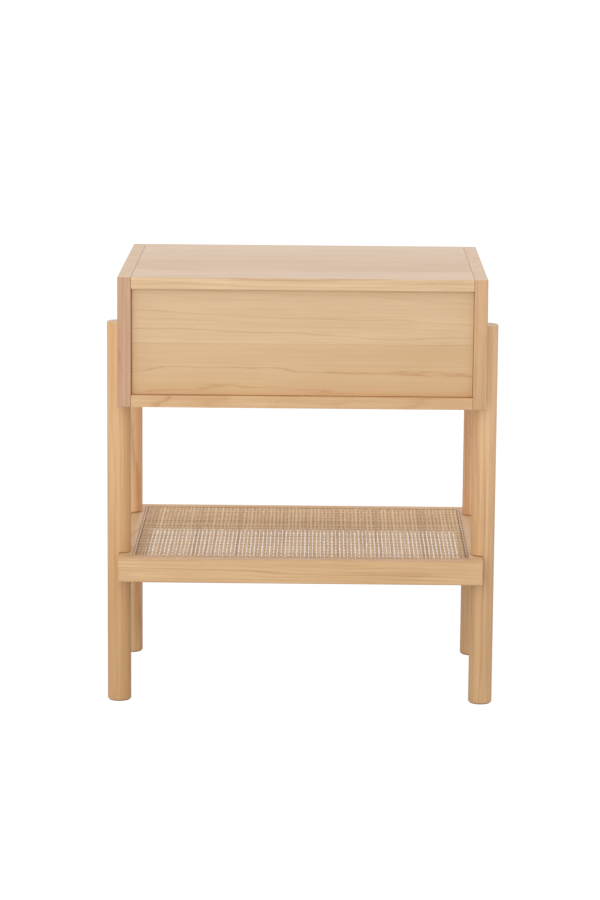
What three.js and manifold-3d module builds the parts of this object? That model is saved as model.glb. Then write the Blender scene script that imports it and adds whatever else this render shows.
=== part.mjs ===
// Nightstand with one push-to-open drawer and a woven cane shelf on four round legs.
// Millimetres, +Z up. The origin is on the floor under the middle, and the drawer opens towards -Y.
import * as THREE from "three";
import { mergeVertices } from "three/addons/utils/BufferGeometryUtils.js";
import Module from "manifold-3d";

const wasm = await Module();
wasm.setup();

// ---- Driving dimensions ----

const HEIGHT = 560; // floor to the top of the case
const DEPTH = 360; // case and shelf, front to back
const CASE_WIDTH = 468; // over the case sides, and over the shelf frame
const CASE_HEIGHT = 166;
const SIDE_T = 17; // case sides
const BOARD_T = 15; // case top and bottom
const BACK_T = 9; // case back
const RECESS = 8; // drawer front and case back stand this far inside the case edges

const LEG_R = 15.25;
const LEG_OUT = 1; // leg centres stand this far outside the outer planes of the case sides
const LEG_INSET = 48; // leg centre from the front or back plane
const LEG_TOP = 497.5;
const GLIDE_T = 1;

const SHELF_TOP = 197;
const SHELF_H = 31;
const RAIL_W = 25;
const SPLINE_FROM_EDGE = 17.5; // plain wood between the frame's edge and the spline
const SPLINE_GROOVE = 4;
const SPLINE_GROOVE_DEPTH = 6;
const WEBBING_REBATE = 1.4; // how far the inner lip is lowered for the cane
const WEBBING_T = 1.2;

const DRAWER_FRONT_T = 17;
const DRAWER_SIDE_T = 12;
const DRAWER_BOTTOM_T = 5;
const DRAWER_SIDE_H = 100;
const DRAWER_BOX_DEPTH = 280; // behind the drawer front
const REVEAL_LEFT = 0.6; // gaps round the drawer front
const REVEAL_RIGHT = 0.3;
const REVEAL_ABOVE = 0.35; // and below
const SLIDE_SPACE = 12.7; // between a case side and a drawer side

const FIT = 0.2; // clearance of a piece in its groove or mortise
const HOLE_FIT = 0.3; // radial clearance of a screw or dowel in its hole

// ---- Places worked out from them ----

const SIDE_OUT = CASE_WIDTH / 2; // outer plane of a case side
const SIDE_IN = SIDE_OUT - SIDE_T; // inner plane of a case side
const FRONT = -DEPTH / 2;
const BACK = DEPTH / 2;
const CASE_BOTTOM = HEIGHT - CASE_HEIGHT;
const BAY_LOW = CASE_BOTTOM + BOARD_T; // floor of the drawer bay
const BAY_HIGH = HEIGHT - BOARD_T;
const LEG_X = SIDE_OUT + LEG_OUT;
const LEG_Y = BACK - LEG_INSET;
const SHELF_LOW = SHELF_TOP - SHELF_H;
const PANEL_BACK = BACK - RECESS;
const PANEL_FRONT = PANEL_BACK - BACK_T;

const DRAWER_FACE = FRONT + RECESS;
const BOX_FRONT = DRAWER_FACE + DRAWER_FRONT_T;
const BOX_BACK = BOX_FRONT + DRAWER_BOX_DEPTH;
const BOX_OUT = SIDE_IN - SLIDE_SPACE;
const BOX_IN = BOX_OUT - DRAWER_SIDE_T;
const BOX_LOW = BAY_LOW + 9;
const BOX_HIGH = BOX_LOW + DRAWER_SIDE_H;
const FLOOR_LOW = BOX_LOW + 8; // underside of the drawer's plywood floor
const FLOOR_HIGH = FLOOR_LOW + DRAWER_BOTTOM_T;
const HOUSING = 6; // depth of the drawer's grooves

const SLIDE_Z = 450; // centre height of the slides
const LATCH_Z = 440;

// ---- Materials ----

const material = (color, roughness, metalness = 0) =>
  new THREE.MeshStandardMaterial({ color, roughness, metalness });
const WOOD = material(0xdab58a, 0.5);
const PLYWOOD = material(0xe0c9a2, 0.6);
const CANE = material(0xbfa27f, 0.65);
const STEEL = material(0xb8bcc0, 0.35, 1);
const PLASTIC = material(0xe6e4de, 0.5);
const FELT = material(0x8a7a66, 0.95);

// ---- Shapes ----

// A box between two corners.
function block(x0, x1, y0, y1, z0, z1) {
  const box = new THREE.BoxGeometry(x1 - x0, y1 - y0, z1 - z0);
  return box.translate((x0 + x1) / 2, (y0 + y1) / 2, (z0 + z1) / 2);
}

// The same box on the left (side -1) or the right (side 1), given by its distances from the middle plane.
function sideBlock(side, inner, outer, y0, y1, z0, z1) {
  const [x0, x1] = [side * inner, side * outer].sort((a, b) => a - b);
  return block(x0, x1, y0, y1, z0, z1);
}

// A solid of revolution about Z from [radius, height] pairs that start and end on the axis.
function turned(profile, segments) {
  const points = profile.map(([radius, height]) => new THREE.Vector2(radius, height));
  return new THREE.LatheGeometry(points, segments).rotateX(Math.PI / 2);
}

// A section of [x, z] corners drawn out along Y from y0 to y1.
function drawnOut(corners, y0, y1) {
  const shape = new THREE.Shape(corners.map(([x, z]) => new THREE.Vector2(x, z)));
  const bar = new THREE.ExtrudeGeometry(shape, { depth: y1 - y0, bevelEnabled: false });
  return bar.rotateX(Math.PI / 2).translate(0, y1, 0);
}

// A closed geometry as a manifold-3d solid, and back.
function toSolid(geometry) {
  const bare = geometry.index ? geometry.toNonIndexed() : geometry.clone();
  bare.deleteAttribute("normal");
  bare.deleteAttribute("uv");
  const merged = mergeVertices(bare, 1e-4);
  const vertProperties = merged.attributes.position.array;
  const triVerts = new Uint32Array(merged.index.array);
  return new wasm.Manifold(new wasm.Mesh({ numProp: 3, vertProperties, triVerts }));
}

function toGeometry(solid) {
  const mesh = solid.getMesh();
  const geometry = new THREE.BufferGeometry();
  geometry.setAttribute("position", new THREE.BufferAttribute(mesh.vertProperties, 3));
  geometry.setIndex(new THREE.BufferAttribute(mesh.triVerts, 1));
  geometry.computeVertexNormals();
  return geometry;
}

const joined = (...geometries) =>
  toGeometry(geometries.map(toSolid).reduce((whole, more) => whole.add(more)));
const cut = (geometry, ...tools) =>
  toGeometry(tools.map(toSolid).reduce((left, tool) => left.subtract(tool), toSolid(geometry)));

// ---- The scene: each piece is drawn round its own centre and placed there ----

const nightstand = new THREE.Group();

function add(name, geometry, finish) {
  const centre = new THREE.Vector3();
  geometry.computeBoundingBox();
  geometry.boundingBox.getCenter(centre);
  geometry.translate(-centre.x, -centre.y, -centre.z);
  const mesh = new THREE.Mesh(geometry, finish);
  mesh.name = name;
  mesh.position.copy(centre);
  nightstand.add(mesh);
}

const SIDES = [
  ["left", -1],
  ["right", 1],
];
const ENDS = [
  ["front", -1],
  ["back", 1],
];

// ---- Fasteners: a profile serves the fastener and, made wider by HOLE_FIT, its hole ----

const SCREW_R = 2;
const SCREW_HEAD_R = 4;
const SCREW_HEAD_H = 2.2;
const SCREW_TIP = 4;
const SCREW_SINK = 0.3; // heads lie this far below the wood

// A countersunk wood screw driven outwards along X at (y, z), its head at distance `from` from the middle plane.
function screw(side, from, length, y, z, wider = 0) {
  const profile = [
    [0, 0],
    [SCREW_R + wider, SCREW_TIP],
    [SCREW_R + wider, length - SCREW_HEAD_H],
    [SCREW_HEAD_R + wider, length],
    [SCREW_HEAD_R + wider, length + wider + SCREW_SINK * Math.sign(wider)],
    [0, length + wider + SCREW_SINK * Math.sign(wider)],
  ].filter((point, i, all) => i === 0 || point[0] !== all[i - 1][0] || point[1] !== all[i - 1][1]);
  const body = turned(profile, 16);
  return body.rotateY((-side * Math.PI) / 2).translate(side * (from + length), y, z);
}

const DOWEL_R = 4;
const DOWEL_LENGTH = 28.7;
const DOWEL_IN_SIDE = 10.7;
const DOWEL_Y = 100;

// A wooden dowel across the joint between a case side and the case top or bottom.
function dowel(side, y, z, wider = 0) {
  const half = DOWEL_LENGTH / 2 + wider;
  const pin = new THREE.CylinderGeometry(DOWEL_R + wider, DOWEL_R + wider, 2 * half, 20);
  const middle = SIDE_IN + DOWEL_IN_SIDE - DOWEL_LENGTH / 2;
  return pin.rotateZ(Math.PI / 2).translate(side * middle, y, z);
}

const DOWEL_ROWS = [
  ["bottom", CASE_BOTTOM + BOARD_T / 2],
  ["top", HEIGHT - BOARD_T / 2],
];
const dowelHoles = (side, rows = DOWEL_ROWS) =>
  rows.flatMap(([, z]) => ENDS.map(([, end]) => dowel(side, end * DOWEL_Y, z, HOLE_FIT)));

const CASE_SCREW_LENGTH = 30;
const CASE_SCREW_ROWS = [
  ["lower", CASE_BOTTOM + 26],
  ["upper", LEG_TOP - 10],
];
const caseScrew = (side, end, z, wider = 0) =>
  screw(side, SIDE_IN + SCREW_SINK, CASE_SCREW_LENGTH, end * LEG_Y, z, wider);
const caseScrewHoles = (side, end) => CASE_SCREW_ROWS.map(([, z]) => caseScrew(side, end, z, HOLE_FIT));

const SHELF_SCREW_LENGTH = 36;
const shelfScrew = (side, end, wider = 0) =>
  screw(side, SIDE_OUT - RAIL_W + SCREW_SINK, SHELF_SCREW_LENGTH, end * LEG_Y, SHELF_LOW + SHELF_H / 2, wider);

for (const [sideName, side] of SIDES) {
  for (const [endName, end] of ENDS) {
    for (const [rowName, z] of CASE_SCREW_ROWS)
      add(`case_screw_${endName}_${sideName}_${rowName}`, caseScrew(side, end, z), STEEL);
    add(`shelf_screw_${endName}_${sideName}`, shelfScrew(side, end), STEEL);
    for (const [rowName, z] of DOWEL_ROWS)
      add(`dowel_${rowName}_${endName}_${sideName}`, dowel(side, end * DOWEL_Y, z), WOOD);
  }
}

// ---- Case: two sides, top and bottom between them, and a back panel in a groove ----

const GROOVE_END = SIDE_IN + HOUSING; // how far out the back panel's groove reaches

const backGroove = (x0, x1, z0, z1) => block(x0, x1, PANEL_FRONT - FIT, PANEL_BACK + FIT, z0, z1);

for (const [sideName, side] of SIDES) {
  const board = sideBlock(side, SIDE_IN, SIDE_OUT, FRONT, BACK, CASE_BOTTOM, HEIGHT);
  const [x0, x1] = [side * (SIDE_IN - 1), side * (GROOVE_END + FIT)].sort((a, b) => a - b);
  const groove = backGroove(x0, x1, BAY_LOW - HOUSING - FIT, BAY_HIGH + HOUSING + FIT);
  const screwHoles = ENDS.flatMap(([, end]) => caseScrewHoles(side, end));
  add(`case_side_${sideName}`, cut(board, groove, ...dowelHoles(side), ...screwHoles), WOOD);
}

const BETWEEN_SIDES = SIDE_IN - FIT; // half the length of the case top and bottom
const CASE_BOARDS = [
  ["case_top", BAY_HIGH, HEIGHT, BAY_HIGH - 1, BAY_HIGH + HOUSING + FIT, DOWEL_ROWS.slice(1)],
  ["case_bottom", CASE_BOTTOM, BAY_LOW, BAY_LOW - HOUSING - FIT, BAY_LOW + 1, DOWEL_ROWS.slice(0, 1)],
];
for (const [name, low, high, grooveLow, grooveHigh, rows] of CASE_BOARDS) {
  const board = block(-BETWEEN_SIDES, BETWEEN_SIDES, FRONT, BACK, low, high);
  const groove = backGroove(-SIDE_IN, SIDE_IN, grooveLow, grooveHigh);
  add(name, cut(board, groove, ...SIDES.flatMap(([, side]) => dowelHoles(side, rows))), WOOD);
}

const PANEL_HALF = GROOVE_END - FIT;
add(
  "case_back",
  block(-PANEL_HALF, PANEL_HALF, PANEL_FRONT, PANEL_BACK, BAY_LOW - HOUSING + FIT, BAY_HIGH + HOUSING - FIT),
  WOOD,
);

// ---- Legs: round, with a notch for the shelf frame and a flat seat against the case side ----

const LEG_CHAMFER = 1;
const LEG_SEGMENTS = 48;
const SEAT = 0.15; // gap between a leg's flat and the wood it is screwed to
const SHOULDER_GAP = 0.9; // gap between the notch's upper shoulder and the shelf frame

function leg(side, end) {
  const top = LEG_TOP - GLIDE_T;
  const round = turned(
    [
      [0, 0],
      [LEG_R - LEG_CHAMFER, 0],
      [LEG_R, LEG_CHAMFER],
      [LEG_R, top - LEG_CHAMFER],
      [LEG_R - LEG_CHAMFER, top],
      [0, top],
    ],
    LEG_SEGMENTS,
  ).translate(side * LEG_X, end * LEG_Y, GLIDE_T);
  const reach = [end * LEG_Y - LEG_R - 1, end * LEG_Y + LEG_R + 1];
  const flat = SIDE_OUT + SEAT;
  const shelfNotch = sideBlock(side, flat - LEG_R - 2, flat, ...reach, SHELF_LOW - SEAT, SHELF_TOP + SHOULDER_GAP);
  const caseSeat = sideBlock(side, flat - LEG_R - 2, flat, ...reach, CASE_BOTTOM - SEAT, LEG_TOP + 1);
  return cut(round, shelfNotch, caseSeat, ...caseScrewHoles(side, end), shelfScrew(side, end, HOLE_FIT));
}

const GLIDE_R = 14;
const glide = (side, end) =>
  turned([[0, 0], [GLIDE_R - 0.5, 0], [GLIDE_R, 0.5], [GLIDE_R, GLIDE_T], [0, GLIDE_T]], 32)
    .translate(side * LEG_X, end * LEG_Y, 0);

for (const [endName, end] of ENDS)
  for (const [sideName, side] of SIDES) {
    add(`leg_${endName}_${sideName}`, leg(side, end), WOOD);
    add(`glide_${endName}_${sideName}`, glide(side, end), FELT);
  }

// ---- Shelf: a tenoned frame, cane webbing over its opening, and a spline that holds the cane in a groove ----

const GROOVE_X = SIDE_OUT - SPLINE_FROM_EDGE; // outer edge of the spline groove
const GROOVE_Y = BACK - SPLINE_FROM_EDGE;
const CANE_X = GROOVE_X - SPLINE_GROOVE; // inner edge of the groove, where the cane starts
const CANE_Y = GROOVE_Y - SPLINE_GROOVE;
const RAIL_IN_X = SIDE_OUT - RAIL_W;
const RAIL_IN_Y = BACK - RAIL_W;
const TENON = { length: 16, x0: SIDE_OUT - 18, x1: SIDE_OUT - 7, z0: SHELF_LOW + 5, z1: SHELF_LOW + 21 };

const splineGroove = cut(
  block(-GROOVE_X, GROOVE_X, -GROOVE_Y, GROOVE_Y, SHELF_TOP - SPLINE_GROOVE_DEPTH, SHELF_TOP + 1),
  block(-CANE_X, CANE_X, -CANE_Y, CANE_Y, SHELF_TOP - SPLINE_GROOVE_DEPTH - 1, SHELF_TOP + 2),
);
const caneRebate = block(-CANE_X - 1, CANE_X + 1, -CANE_Y - 1, CANE_Y + 1, SHELF_TOP - WEBBING_REBATE, SHELF_TOP + 1);

// A side rail's tenon into the front (end -1) or back (end 1) rail, or its mortise when loose is the clearance.
function tenon(side, end, loose = 0) {
  const ys = [end * (RAIL_IN_Y - 1), end * (RAIL_IN_Y + TENON.length + loose)].sort((a, b) => a - b);
  return sideBlock(side, TENON.x0 - loose, TENON.x1 + loose, ...ys, TENON.z0 - loose, TENON.z1 + loose);
}

for (const [endName, end] of ENDS) {
  const [y0, y1] = [end * RAIL_IN_Y, end * BACK].sort((a, b) => a - b);
  const rail = block(-SIDE_OUT, SIDE_OUT, y0, y1, SHELF_LOW, SHELF_TOP);
  const mortises = SIDES.map(([, side]) => tenon(side, end, FIT));
  add(`shelf_rail_${endName}`, cut(rail, splineGroove, caneRebate, ...mortises), WOOD);
}
for (const [sideName, side] of SIDES) {
  const reach = RAIL_IN_Y - FIT;
  const rail = sideBlock(side, RAIL_IN_X, SIDE_OUT, -reach, reach, SHELF_LOW, SHELF_TOP);
  const tenoned = joined(rail, ...ENDS.map(([, end]) => tenon(side, end)));
  const screwHoles = ENDS.map(([, end]) => shelfScrew(side, end, HOLE_FIT));
  add(`shelf_rail_${sideName}`, cut(tenoned, splineGroove, caneRebate, ...screwHoles), WOOD);
}

const CANE_LOW = SHELF_TOP - WEBBING_REBATE + FIT;
add(
  "cane_webbing",
  block(-CANE_X + FIT, CANE_X - FIT, -CANE_Y + FIT, CANE_Y - FIT, CANE_LOW, CANE_LOW + WEBBING_T),
  CANE,
);

const SPLINE_LOW = SHELF_TOP - SPLINE_GROOVE_DEPTH + FIT;
const SPLINE_HIGH = SHELF_TOP + 0.5;

// A spline with a rounded top, laid along Y from y0 to y1 with its section centred on X 0.
function spline(y0, y1) {
  const half = SPLINE_GROOVE / 2 - HOLE_FIT;
  const shoulder = SPLINE_HIGH - half * 0.6;
  const crown = Array.from({ length: 7 }, (_, i) => {
    const angle = (i / 6) * Math.PI;
    return [half * Math.cos(angle), shoulder + (SPLINE_HIGH - shoulder) * Math.sin(angle)];
  });
  return drawnOut([[-half, SPLINE_LOW], [half, SPLINE_LOW], ...crown], y0, y1);
}

const SPLINE_MID_X = (GROOVE_X + CANE_X) / 2;
const SPLINE_MID_Y = (GROOVE_Y + CANE_Y) / 2;
for (const [sideName, side] of SIDES)
  add(`cane_spline_${sideName}`, spline(-CANE_Y + FIT, CANE_Y - FIT).translate(side * SPLINE_MID_X, 0, 0), CANE);
for (const [endName, end] of ENDS) {
  const long = spline(-GROOVE_X + FIT, GROOVE_X - FIT).rotateZ(Math.PI / 2);
  add(`cane_spline_${endName}`, long.translate(0, end * SPLINE_MID_Y, 0), CANE);
}

// ---- Drawer: a solid front, box sides housed in it, a back, and a plywood floor in grooves ----

const FRONT_LOW = BAY_LOW + REVEAL_ABOVE;
const FRONT_HIGH = BAY_HIGH - REVEAL_ABOVE;
const floorGroove = (x0, x1, y0, y1) => block(x0, x1, y0, y1, FLOOR_LOW - FIT, FLOOR_HIGH + FIT);
const sideHousing = (side) =>
  sideBlock(side, BOX_IN - FIT, BOX_OUT + FIT, BOX_FRONT - HOUSING - FIT, BOX_FRONT + 1, BOX_LOW - FIT, BOX_HIGH + FIT);

const frontBoard = block(-SIDE_IN + REVEAL_LEFT, SIDE_IN - REVEAL_RIGHT, DRAWER_FACE, BOX_FRONT, FRONT_LOW, FRONT_HIGH);
add(
  "drawer_front",
  cut(
    frontBoard,
    ...SIDES.map(([, side]) => sideHousing(side)),
    floorGroove(-BOX_IN, BOX_IN, BOX_FRONT - HOUSING - FIT, BOX_FRONT + 1),
  ),
  WOOD,
);

const BACK_HOUSING = 4;
for (const [sideName, side] of SIDES) {
  const board = sideBlock(side, BOX_IN, BOX_OUT, BOX_FRONT - HOUSING, BOX_BACK, BOX_LOW, BOX_HIGH);
  const [x0, x1] = [side * (BOX_IN - 1), side * (BOX_IN + HOUSING + FIT)].sort((a, b) => a - b);
  const groove = floorGroove(x0, x1, BOX_FRONT - HOUSING - 1, BOX_BACK + 1);
  const rebate = sideBlock(
    side, BOX_IN - 1, BOX_IN + BACK_HOUSING + FIT,
    BOX_BACK - DRAWER_SIDE_T - FIT, BOX_BACK + 1, FLOOR_HIGH - 1, BOX_HIGH + 1,
  );
  add(`drawer_side_${sideName}`, cut(board, groove, rebate), WOOD);
}
const DRAWER_BACK_HALF = BOX_IN + BACK_HOUSING - FIT;
add(
  "drawer_back",
  block(-DRAWER_BACK_HALF, DRAWER_BACK_HALF, BOX_BACK - DRAWER_SIDE_T, BOX_BACK, FLOOR_HIGH + FIT, BOX_HIGH),
  WOOD,
);
const FLOOR_HALF = BOX_IN + HOUSING - FIT;
add(
  "drawer_bottom",
  block(-FLOOR_HALF, FLOOR_HALF, BOX_FRONT - HOUSING + FIT, BOX_BACK, FLOOR_LOW, FLOOR_HIGH),
  PLYWOOD,
);

// ---- Telescopic slides: three nested channels on each side, their sections given as [out of the case side, up] ----

const SLIDE_SECTIONS = {
  slide_case_rail: [
    [0.2, -17.5], [9.2, -17.5], [9.2, -15], [8.2, -15], [8.2, -16.5], [1.2, -16.5],
    [1.2, 16.5], [8.2, 16.5], [8.2, 15], [9.2, 15], [9.2, 17.5], [0.2, 17.5],
  ],
  slide_middle_rail: [
    [3.2, -13.3], [11, -13.3], [11, -12.3], [4.2, -12.3],
    [4.2, 12.3], [11, 12.3], [11, 13.3], [3.2, 13.3],
  ],
  slide_drawer_rail: [
    [12.5, -9.3], [12.5, 9.3], [6, 9.3], [6, 8.3],
    [11.5, 8.3], [11.5, -8.3], [6, -8.3], [6, -9.3],
  ],
};
const SLIDE_FRONT = BOX_FRONT + 1;
const SLIDE_BACK = BOX_BACK + 1;

for (const [sideName, side] of SIDES)
  for (const [name, section] of Object.entries(SLIDE_SECTIONS)) {
    const corners = section.map(([out, up]) => [side * (SIDE_IN - out), SLIDE_Z + up]);
    add(`${name}_${sideName}`, drawnOut(corners, SLIDE_FRONT, SLIDE_BACK), STEEL);
  }

// ---- Push latch: a flanged housing on the case back, its plunger, and a steel plate on the drawer back ----

const PLATE_T = 1.5;
const PLUNGER_TRAVEL = 3;
const PLUNGER_R = 4;
const BARREL_R = 9;
const FLANGE = { halfWidth: 20, halfHeight: 11, thickness: 3 };
const PLATE_BACK = BOX_BACK + FIT + PLATE_T;
const PLUNGER_TIP = PLATE_BACK + 0.5;
const BARREL_FRONT = PLUNGER_TIP + PLUNGER_TRAVEL + 1;
const FLANGE_BACK = PANEL_FRONT - FIT;
const BORE_BACK = FLANGE_BACK - FLANGE.thickness;

// A cylinder along Y, centred on the latch's axis.
function latchRod(radius, y0, y1) {
  const rod = new THREE.CylinderGeometry(radius, radius, y1 - y0, 32);
  return rod.translate(0, (y0 + y1) / 2, LATCH_Z);
}

add(
  "latch_strike_plate",
  block(-12, 12, BOX_BACK + FIT, PLATE_BACK, LATCH_Z - 8, LATCH_Z + 8),
  STEEL,
);
add("latch_plunger", latchRod(PLUNGER_R, PLUNGER_TIP, BORE_BACK - PLUNGER_TRAVEL - 1), PLASTIC);
add(
  "latch_housing",
  cut(
    joined(
      latchRod(BARREL_R, BARREL_FRONT, FLANGE_BACK - 1),
      block(
        -FLANGE.halfWidth, FLANGE.halfWidth, FLANGE_BACK - FLANGE.thickness, FLANGE_BACK,
        LATCH_Z - FLANGE.halfHeight, LATCH_Z + FLANGE.halfHeight,
      ),
    ),
    latchRod(PLUNGER_R + 0.4, BARREL_FRONT - 1, BORE_BACK),
  ),
  PLASTIC,
);

export default nightstand;
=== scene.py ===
# %% [markdown]
# # A nightstand with a push-to-open drawer and a woven shelf
# The frame that is loaded here holds every piece of the nightstand at its real size and place, in metres:
# boards, legs, shelf rails, drawer, slides, latch and fasteners. This lesson gives them the looks of the real
# thing. Boards get eased edges and a wood grain that runs through them, and the shelf gets woven cane.

# %% Load the frame
import math

import bmesh
import bpy
from mathutils import Matrix, Vector


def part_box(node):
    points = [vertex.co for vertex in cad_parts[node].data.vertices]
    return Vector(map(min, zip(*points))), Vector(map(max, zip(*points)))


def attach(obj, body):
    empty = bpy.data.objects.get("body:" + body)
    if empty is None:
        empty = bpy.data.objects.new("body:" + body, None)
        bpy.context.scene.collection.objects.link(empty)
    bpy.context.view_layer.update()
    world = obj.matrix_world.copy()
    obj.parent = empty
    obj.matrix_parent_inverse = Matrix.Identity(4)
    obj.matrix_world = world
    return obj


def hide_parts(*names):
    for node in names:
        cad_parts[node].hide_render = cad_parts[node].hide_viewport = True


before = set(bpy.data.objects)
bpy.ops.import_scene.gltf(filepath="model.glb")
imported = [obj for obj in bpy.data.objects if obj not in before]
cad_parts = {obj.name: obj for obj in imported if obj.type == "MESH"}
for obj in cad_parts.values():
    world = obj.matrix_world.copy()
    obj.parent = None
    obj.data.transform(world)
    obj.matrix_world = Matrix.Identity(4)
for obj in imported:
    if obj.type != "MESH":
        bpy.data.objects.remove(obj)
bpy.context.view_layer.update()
scene = bpy.context.scene
MM = 0.001

# %% [markdown]
# ## The camera
# A product picture is taken from far away with a long lens, so that the uprights stay almost parallel. The
# camera stands a little over four metres back and looks slightly down, which shows the top of the case and
# the weave of the shelf at a flat angle. Its turn is built from three plain angles.

# %% Camera
CAMERA_PLACE = Vector((0.0265, -4.209, 1.075))
CAMERA_YAW, CAMERA_PITCH, CAMERA_ROLL = 0.0070, 0.1803, 0.0080
LENS_MM, SENSOR_MM = 128.8, 36

camera = bpy.data.objects.new("camera", bpy.data.cameras.new("camera"))
camera.data.lens, camera.data.sensor_width = LENS_MM, SENSOR_MM
turn = Matrix.Rotation(CAMERA_YAW, 4, "Z") @ Matrix.Rotation(math.pi / 2 - CAMERA_PITCH, 4, "X")
camera.matrix_world = Matrix.Translation(CAMERA_PLACE) @ turn @ Matrix.Rotation(CAMERA_ROLL, 4, "Z")
scene.collection.objects.link(camera)
scene.camera = camera

# %% [markdown]
# ## Helpers for node trees
# Materials and Geometry Nodes trees are both made of nodes with sockets. `wire` puts a number, a colour or
# another node's output into a socket, so each node can be written as one call with all that it needs.

# %% Node helpers
def wire(tree, value, socket):
    if isinstance(value, bpy.types.NodeSocket):
        tree.links.new(value, socket)
    elif value is not None:
        socket.default_value = value


def add(tree, kind, inputs=(), **settings):
    """A new node: its settings first, then its inputs by name or number."""
    made = tree.nodes.new(kind)
    for name, value in settings.items():
        setattr(made, name, value)
    for key, value in dict(inputs).items():
        wire(tree, value, made.inputs[key])
    return made


def calc(tree, operation, *values):
    """The output of one Math node."""
    return add(tree, "ShaderNodeMath", enumerate(values), operation=operation).outputs[0]


def times(tree, first, second):
    return calc(tree, "MULTIPLY", first, second)


def centred(tree, value):
    """A value from 0 to 1, moved to lie evenly round 0."""
    return calc(tree, "SUBTRACT", value, 0.5)


def vector_calc(tree, operation, *values):
    """The vector output of one Vector Math node."""
    return add(tree, "ShaderNodeVectorMath", enumerate(values), operation=operation).outputs[0]


def ramp(tree, value, low, high, to_low=0.0, to_high=1.0):
    """value between low and high, eased in and out, becomes to_low to to_high."""
    inputs = {"Value": value, "From Min": low, "From Max": high, "To Min": to_low, "To Max": to_high}
    return add(tree, "ShaderNodeMapRange", inputs, interpolation_type="SMOOTHSTEP").outputs["Result"]


def noise(tree, vector, scale, detail, output="Fac"):
    """Smooth noise from 0 to 1, as one value or, from the output "Color", as three."""
    made = add(tree, "ShaderNodeTexNoise", {"Vector": vector, "Scale": scale, "Detail": detail})
    return made.outputs[output]


def stretched_noise(tree, vector, along, across, detail=2.0, output="Fac"):
    """Noise that is drawn out along X."""
    return noise(tree, vector_calc(tree, "MULTIPLY", vector, (along, across, across)), 1.0, detail, output)


def chance(tree, number, output="Value"):
    """A random value from 0 to 1 for each number."""
    return add(tree, "ShaderNodeTexWhiteNoise", {"W": number}, noise_dimensions="1D").outputs[output]


def split(tree, vector):
    """The X, Y and Z of a vector."""
    return add(tree, "ShaderNodeSeparateXYZ", {0: vector}).outputs


def object_place(tree):
    return add(tree, "ShaderNodeTexCoord").outputs["Object"]


def blend_colours(tree, factor, first, second):
    return add(tree, "ShaderNodeMix", {0: factor, 6: first, 7: second}, data_type="RGBA").outputs[2]


def new_group(name, inputs, outputs):
    """A shader node group with named sockets, and its own input sockets and output sockets."""
    tree = bpy.data.node_groups.new(name, "ShaderNodeTree")
    for in_out, sockets in (("INPUT", inputs), ("OUTPUT", outputs)):
        for label, kind in sockets.items():
            tree.interface.new_socket(label, in_out=in_out, socket_type="NodeSocket" + kind)
    return tree, tree.nodes.new("NodeGroupInput").outputs, tree.nodes.new("NodeGroupOutput").inputs


def use_group(tree, group, inputs):
    return add(tree, "ShaderNodeGroup", inputs, node_tree=group).outputs


def new_finish(name):
    finish = bpy.data.materials.new(name)
    finish.use_nodes = True
    return finish, finish.node_tree


def tint(red, green, blue):
    """A colour from a paint chart, 0 to 255, as the linear colour that a shader takes."""
    return (*(((c / 255 + 0.055) / 1.055) ** 2.4 for c in (red, green, blue)), 1.0)


print("a mid oak reads", [round(c, 3) for c in tint(200, 160, 115)])

# %% [markdown]
# ## Floor and light
# Furniture for a catalogue is taken on a lit white sheet, which comes out pure white and leaves only a hint
# of shadow at the feet. The floor and the world are therefore two things at once. The camera sees them glow
# white, and the furniture is lit by a weaker, slightly cool surround. A large soft panel in front on the left
# and one above give the round legs their gentle fall-off from one side to the other.

# %% Floor, world and soft panels
FLOOR_SIZE = 120.0
SEEN_WHITE = 1.12
SURROUND = 1.0
FLOOR_GLOW = 0.85
WHITE = (1, 1, 1, 1)
SHEET_DARK, SHEET_LIGHT = (0.58, 0.58, 0.58, 1), (0.62, 0.62, 0.62, 1)
COOL_WHITE = (0.965, 0.98, 1.0, 1)


def seen_by_camera(tree):
    return tree.nodes.new("ShaderNodeLightPath").outputs["Is Camera Ray"]


bpy.ops.mesh.primitive_plane_add(size=FLOOR_SIZE, location=(0, 0, 0))
floor = bpy.context.object
floor.name = "studio_floor"

sheet, sheet_tree = new_finish("white_sheet")
speckle = noise(sheet_tree, None, 40.0, 3.0)
sheet_shader = sheet_tree.nodes["Principled BSDF"]
sheet_colour = blend_colours(sheet_tree, speckle, SHEET_DARK, SHEET_LIGHT)
wire(sheet_tree, sheet_colour, sheet_shader.inputs["Base Color"])
sheet_shader.inputs["Roughness"].default_value = 0.9
sheet_shader.inputs["Specular IOR Level"].default_value = 0.1
glow = add(sheet_tree, "ShaderNodeEmission", {"Color": WHITE, "Strength": SEEN_WHITE}).outputs[0]
glowing = times(sheet_tree, seen_by_camera(sheet_tree), FLOOR_GLOW)
sheet_mix = add(sheet_tree, "ShaderNodeMixShader", {0: glowing, 1: sheet_shader.outputs[0], 2: glow})
wire(sheet_tree, sheet_mix.outputs[0], sheet_tree.nodes["Material Output"].inputs["Surface"])
floor.data.materials.append(sheet)

world = bpy.data.worlds.new("white_surround")
world.use_nodes = True
world_tree = world.node_tree
surround = world_tree.nodes["Background"]
surround.inputs["Color"].default_value = COOL_WHITE
surround.inputs["Strength"].default_value = SURROUND
backdrop = add(world_tree, "ShaderNodeBackground", {"Color": WHITE, "Strength": SEEN_WHITE})
world_mix = add(world_tree, "ShaderNodeMixShader", {
    0: seen_by_camera(world_tree), 1: surround.outputs[0], 2: backdrop.outputs[0],
})
wire(world_tree, world_mix.outputs[0], world_tree.nodes["World Output"].inputs["Surface"])
scene.world = world
scene.view_settings.view_transform = "Standard"


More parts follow.
